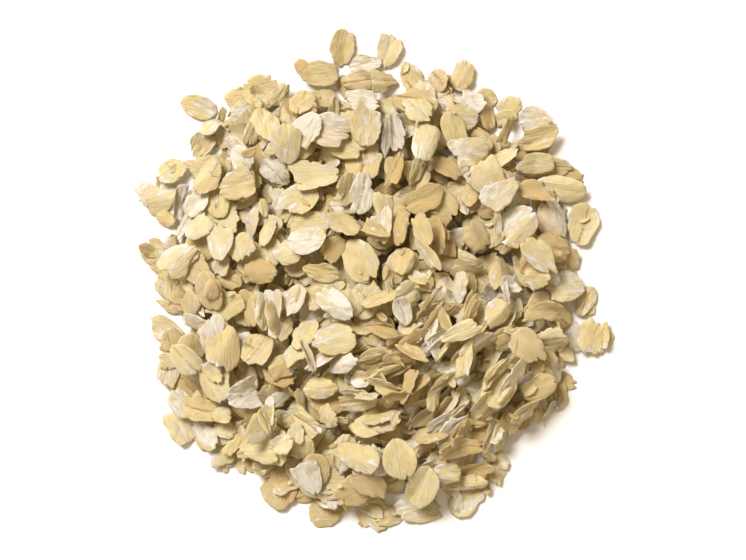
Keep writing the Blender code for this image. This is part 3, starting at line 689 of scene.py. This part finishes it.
class Nodes:
    """A short way to write a tree of nodes."""

    def __init__(self, tree):
        self.tree = tree

    def new(self, kind, inputs=(), **settings):
        """A node with its settings, and its inputs given as values or as other nodes' outputs."""
        node = self.tree.nodes.new(kind)
        for key, value in settings.items():
            setattr(node, key, value)
        for key, value in dict(inputs).items():
            self.put(node.inputs[key], value)
        return node

    def put(self, socket, value):
        if isinstance(value, bpy.types.NodeSocket):
            self.tree.links.new(value, socket)
        else:
            socket.default_value = value

    def math(self, operation, *values):
        return self.new("ShaderNodeMath", enumerate(values), operation=operation).outputs[0]

    def mix(self, share, first, second):
        inputs = {0: share, 6: first, 7: second}
        return self.new("ShaderNodeMix", inputs, data_type="RGBA").outputs[2]

    def sharpen(self, value, low, high):
        """0 below low and 1 above high, smoothly between."""
        inputs = {"Value": value, "From Min": low, "From Max": high}
        node = self.new("ShaderNodeMapRange", inputs, interpolation_type="SMOOTHSTEP")
        return node.outputs["Result"]

    def noise(self, place, scale, detail=3.0, roughness=0.6):
        """Noise over a place stretched by scale along each axis, about 0 in the middle."""
        inputs = {0: place, 1: scale}
        stretched = self.new("ShaderNodeVectorMath", inputs, operation="MULTIPLY").outputs[0]
        inputs = {"Vector": stretched, "Scale": 1.0, "Detail": detail, "Roughness": roughness}
        value = self.new("ShaderNodeTexNoise", inputs).outputs["Fac"]
        return self.math("SUBTRACT", value, 0.5)


def oat_material(name):
    """Dry oat: cream to tan skin with fine lengthwise streaks, golden in spots, and rubbed down
    to white flour in patches."""
    material = bpy.data.materials.new(name)
    material.use_nodes = True
    nodes = Nodes(material.node_tree)
    grain = nodes.new("ShaderNodeAttribute", attribute_name="grain").outputs["Vector"]
    coat_and_shade = nodes.new("ShaderNodeAttribute", attribute_name="coat_and_shade")
    parts = nodes.new("ShaderNodeSeparateColor", {0: coat_and_shade.outputs["Color"]}).outputs

    own = nodes.noise(grain, (0.0, 0.0, 1.0), 0.0)
    streaks = nodes.noise(grain, (0.40, 2.4, 1.0), 5.0)
    patches = nodes.noise(grain, (0.45, 0.8, 1.0), 4.0, 0.6)
    blotches = nodes.noise(grain, (0.35, 0.45, 1.3), 1.0)
    fine = nodes.noise(grain, (4.0, 8.0, 1.0), 4.0, 0.7)
    specks = nodes.noise(grain, (2.2, 3.4, 1.0), 2.0)

    hue = nodes.sharpen(nodes.math("MULTIPLY_ADD", blotches, 0.8, own), -0.25, 0.25)
    colour = nodes.mix(hue, (*CREAM, 1.0), (*YELLOW, 1.0))
    tone = nodes.math("MULTIPLY_ADD", streaks, 1.5, parts[1])
    tone = nodes.math("MULTIPLY_ADD", patches, 0.8, tone)
    colour = nodes.mix(nodes.sharpen(tone, 0.05, 1.05), colour, (*TAN, 1.0))
    gold = nodes.math("MULTIPLY_ADD", parts[1], 0.25, blotches)
    gold = nodes.sharpen(nodes.math("MULTIPLY_ADD", streaks, 0.3, gold), 0.22, 0.45)
    colour = nodes.mix(nodes.math("MULTIPLY", gold, 0.7), colour, (*GOLD, 1.0))
    colour = nodes.mix(nodes.math("MULTIPLY", coat_and_shade.outputs["Alpha"], 0.6), colour, (*PINK, 1.0))

    flour = nodes.math("MULTIPLY_ADD", patches, 2.0, parts[0])
    flour = nodes.math("MULTIPLY_ADD", streaks, 0.7, flour)
    flour = nodes.math("MULTIPLY_ADD", fine, 0.4, flour)
    flour = nodes.sharpen(flour, 0.40, 0.72)
    colour = nodes.mix(nodes.math("MULTIPLY", flour, 0.85), colour, (*FLOUR, 1.0))

    # Brown: the oat's specks and streaks, and the shade painted from the mesh at edges, in creases
    # and on covered flakes
    brown = nodes.math("MULTIPLY_ADD", specks, 0.8, parts[2])
    brown = nodes.math("MULTIPLY_ADD", streaks, 0.6, brown)
    brown = nodes.sharpen(brown, 0.25, 0.55)
    colour = nodes.mix(nodes.math("MULTIPLY", brown, 0.7), colour, (*BROWN, 1.0))
    shade = nodes.math("MULTIPLY_ADD", fine, 0.5, 1.0)
    shade = nodes.math("MULTIPLY_ADD", streaks, 0.6, shade)
    shaded = nodes.new("ShaderNodeVectorMath", {0: colour}, operation="SCALE")
    nodes.put(shaded.inputs["Scale"], shade)

    relief = nodes.math("MULTIPLY_ADD", streaks, 1.6, fine)
    relief = nodes.math("MULTIPLY_ADD", flour, 0.25, relief)
    bump = nodes.new("ShaderNodeBump", {"Height": relief, "Distance": 0.25 * MM})

    shader = nodes.tree.nodes["Principled BSDF"]
    nodes.put(shader.inputs["Base Color"], shaded.outputs[0])
    nodes.put(shader.inputs["Roughness"], nodes.math("MULTIPLY_ADD", flour, 0.25, 0.55))
    nodes.put(shader.inputs["Normal"], bump.outputs[0])
    shader.inputs["Specular IOR Level"].default_value = 0.35
    return material


def key_light(azimuth, elevation, width, strength):
    """A soft light from far off: its azimuth from +X towards +Y, its height above the floor and
    how wide it looks, all in degrees, and its strength."""
    data = bpy.data.lights.new("key", "SUN")
    data.angle = radians(width)
    data.energy = strength
    data.color = KEY_COLOUR
    lamp = bpy.data.objects.new("key", data)
    bpy.context.scene.collection.objects.link(lamp)
    a, e = radians(azimuth), radians(elevation)
    source = Vector((cos(e) * cos(a), cos(e) * sin(a), sin(e)))
    lamp.rotation_mode = "QUATERNION"
    lamp.rotation_quaternion = (-source).to_track_quat("-Z", "Y")


def make_sky():
    """A warm fill from above, white towards the horizon."""
    world = bpy.data.worlds.new("sky")
    world.use_nodes = True
    nodes = Nodes(world.node_tree)
    place = nodes.new("ShaderNodeTexCoord").outputs["Generated"]
    height = nodes.new("ShaderNodeSeparateXYZ", {0: place}).outputs["Z"]
    colour = nodes.mix(nodes.sharpen(height, *HORIZON), (*WHITE, 1.0), (*SKY, 1.0))
    nodes.put(nodes.tree.nodes["Background"].inputs["Color"], colour)
    bpy.context.scene.world = world


def make_stage():
    """The camera straight above, a white floor, a soft key light from the upper left, and the
    sky."""
    data = bpy.data.cameras.new("camera")
    data.lens = LENS_MM
    camera = bpy.data.objects.new("camera", data)
    bpy.context.scene.collection.objects.link(camera)
    camera.location = (*AIM, FRAME_WIDTH * data.lens / data.sensor_width)
    bpy.context.scene.camera = camera

    bpy.ops.mesh.primitive_plane_add(size=FLOOR_SIZE, location=(0.0, 0.0, -FLOOR_DROP_MM * MM))
    floor = bpy.context.object
    floor.name = "floor"
    material = bpy.data.materials.new("white_floor")
    material.use_nodes = True
    shader = material.node_tree.nodes["Principled BSDF"]
    shader.inputs["Base Color"].default_value = (*FLOOR_COLOUR, 1.0)
    shader.inputs["Roughness"].default_value = FLOOR_ROUGHNESS
    floor.data.materials.append(material)
    floor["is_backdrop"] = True

    key_light(azimuth=130, elevation=52, width=22, strength=4.0)
    make_sky()
    bpy.context.scene.view_settings.view_transform = "Standard"


def shape_flakes(slabs, crumbs, overhead):
    """For each piece's name, the shape and the faces of each of its flakes."""
    discs = {rings: (disc_points(rings), disc_faces(rings)) for rings in (FINE, COARSE)}
    flakes = {}
    number = 0
    for name, found in slabs.items():
        flakes[name] = []
        for slab in found:
            rng = np.random.default_rng((SEED, number))
            seen = overhead.seen_share(slab)
            points, faces = discs[FINE if seen > SEEN_SHARE else COARSE]
            openness = np.interp(seen, OPEN_SHARES, (0, 1))
            shape = flake_shape(slab, rng, points, look_of(slab, seen, rng), openness)
            flakes[name].append((shape, faces))
            number += 1
    # The crumbs go on with the last flake's random numbers
    points, faces = discs[COARSE]
    flakes["crumbs"] = []
    for slab in crumbs:
        shape = flake_shape(slab, rng, points, look_of(slab, 0, rng), CRUMB_OPENNESS)
        flakes["crumbs"].append((shape, faces))
    return flakes


def make_pieces(flakes, frame):
    """The pieces: those of a CAD node replace it, and the others are extra."""
    material = oat_material("oat")
    for name, found in flakes.items():
        shapes, faces = zip(*found)
        if name in frame["nodes"]:
            piece = make_piece("oats_" + name, shapes, faces, material)
            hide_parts(name)
        else:
            piece = make_piece(name, shapes, faces, material)
        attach(piece, "root")


def main():
    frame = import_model()
    cad_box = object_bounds()
    make_stage()

    nodes = sorted(frame["nodes"].items())
    slabs = {name: [read_slab(face) for face in flat_faces_up(cad)] for name, cad in nodes}
    overhead = Overhead()
    for slab in (slab for found in slabs.values() for slab in found):
        overhead.add(slab)
    rng = np.random.default_rng(SEED)
    for slab in fill_gaps(overhead, rng) + lay_slivers(overhead, rng):
        eighth = round(atan2(slab.middle.y, slab.middle.x) / tau * len(COMPASS))
        side = COMPASS[eighth % len(COMPASS)]
        slabs.setdefault("loose_flakes_" + side, []).append(slab)
    crumbs = list(scatter_crumbs(overhead, rng))

    flakes = shape_flakes(slabs, crumbs, overhead)
    settle([shape for found in flakes.values() for shape, _ in found])
    make_pieces(flakes, frame)

    visual_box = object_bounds()
    [[list(corner) for corner in box] for box in (cad_box, visual_box)]


main()
